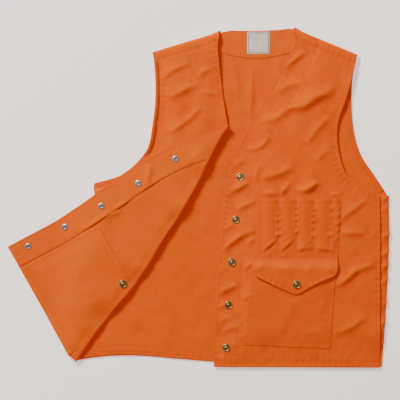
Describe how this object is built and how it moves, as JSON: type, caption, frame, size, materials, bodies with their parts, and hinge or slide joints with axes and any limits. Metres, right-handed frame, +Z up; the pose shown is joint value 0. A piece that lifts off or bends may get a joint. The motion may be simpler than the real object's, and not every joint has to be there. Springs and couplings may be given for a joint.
{
  "type": "hunting vest",
  "caption": "Sleeveless blaze orange canvas vest lying open, one front turned back on its fold, with snap closures, flapped chest pocket, shell loops and an inside pocket.",
  "frame": {"origin": "under the middle of the vest's outline, on the plane it lies on", "axes": "+X from the turned-back right front towards the wearer's left side, +Y towards the neck, +Z up through the thickness"},
  "size_m": [0.7428, 0.6565, 0.0295],
  "materials": {
    "canvas_body": "blaze orange cotton canvas, plain weave",
    "canvas_facing": "blaze orange canvas facing and turned hem",
    "canvas_pocket": "blaze orange canvas, doubled, topstitched",
    "label": "plain woven beige label",
    "brass_snap": "rolled brass snap with a worn ring",
    "silver_snap": "nickel-plated snap post and stud"
  },
  "bodies": {
    "vest_back": {"back_panel": "canvas_body", "back_neck_facing": "canvas_facing", "neck_label": "label", "back_hem_band": "canvas_facing", "back_armhole_band_left": "canvas_facing", "back_armhole_band_right": "canvas_facing", "right_chest_panel": "canvas_body", "right_armhole_facing": "canvas_facing", "right_side_wrap": "canvas_body", "right_shoulder_wrap": "canvas_body", "right_front_roll": "canvas_body", "left_side_front": "canvas_body", "left_armhole_facing": "canvas_facing", "left_side_wrap": "canvas_body", "left_shoulder_wrap": "canvas_body"},
    "right_front": {"right_front_panel": "canvas_body", "right_front_facing": "canvas_facing", "right_hem_band": "canvas_facing", "inside_pocket": "canvas_pocket", "inside_snap_cap": "brass_snap", "inside_snap_socket": "brass_snap", "inside_snap_stud": "silver_snap", "right_stud_1": "silver_snap", "right_stud_2": "silver_snap", "right_stud_3": "silver_snap", "right_stud_4": "silver_snap", "right_stud_5": "silver_snap", "right_post_1": "silver_snap", "right_post_2": "silver_snap", "right_post_3": "silver_snap", "right_post_4": "silver_snap", "right_post_5": "silver_snap"},
    "left_front": {"left_front_panel": "canvas_body", "left_front_facing": "canvas_facing", "left_hem_band": "canvas_facing", "left_cap_1": "brass_snap", "left_cap_2": "brass_snap", "left_cap_3": "brass_snap", "left_cap_4": "brass_snap", "left_cap_5": "brass_snap", "left_socket_1": "brass_snap", "left_socket_2": "brass_snap", "left_socket_3": "brass_snap", "left_socket_4": "brass_snap", "left_socket_5": "brass_snap", "shell_loops": "canvas_pocket", "chest_pocket": "canvas_pocket", "pocket_snap_stud": "silver_snap", "pocket_snap_post": "silver_snap"},
    "pocket_flap": {"pocket_flap": "canvas_pocket", "flap_snap_cap": "brass_snap", "flap_snap_socket": "brass_snap"}
  },
  "joints": [
    {"name": "right_front_fold", "type": "hinge", "parent": "vest_back", "child": "right_front", "pos_m": [-0.2224, -0.3007, 0.0149], "axis": [0.5405, 0.8414, 0], "range_deg": [0, 170]},
    {"name": "left_front_fold", "type": "hinge", "parent": "vest_back", "child": "left_front", "pos_m": [0.3516, -0.3277, 0.0121], "axis": [-0.2148, 0.9767, 0], "range_deg": [0, 130]},
    {"name": "pocket_flap_hinge", "type": "hinge", "parent": "left_front", "child": "pocket_flap", "pos_m": [0.1896, -0.1127, 0.0126], "axis": [-1, 0, 0], "range_deg": [0, 115]}
  ]
}
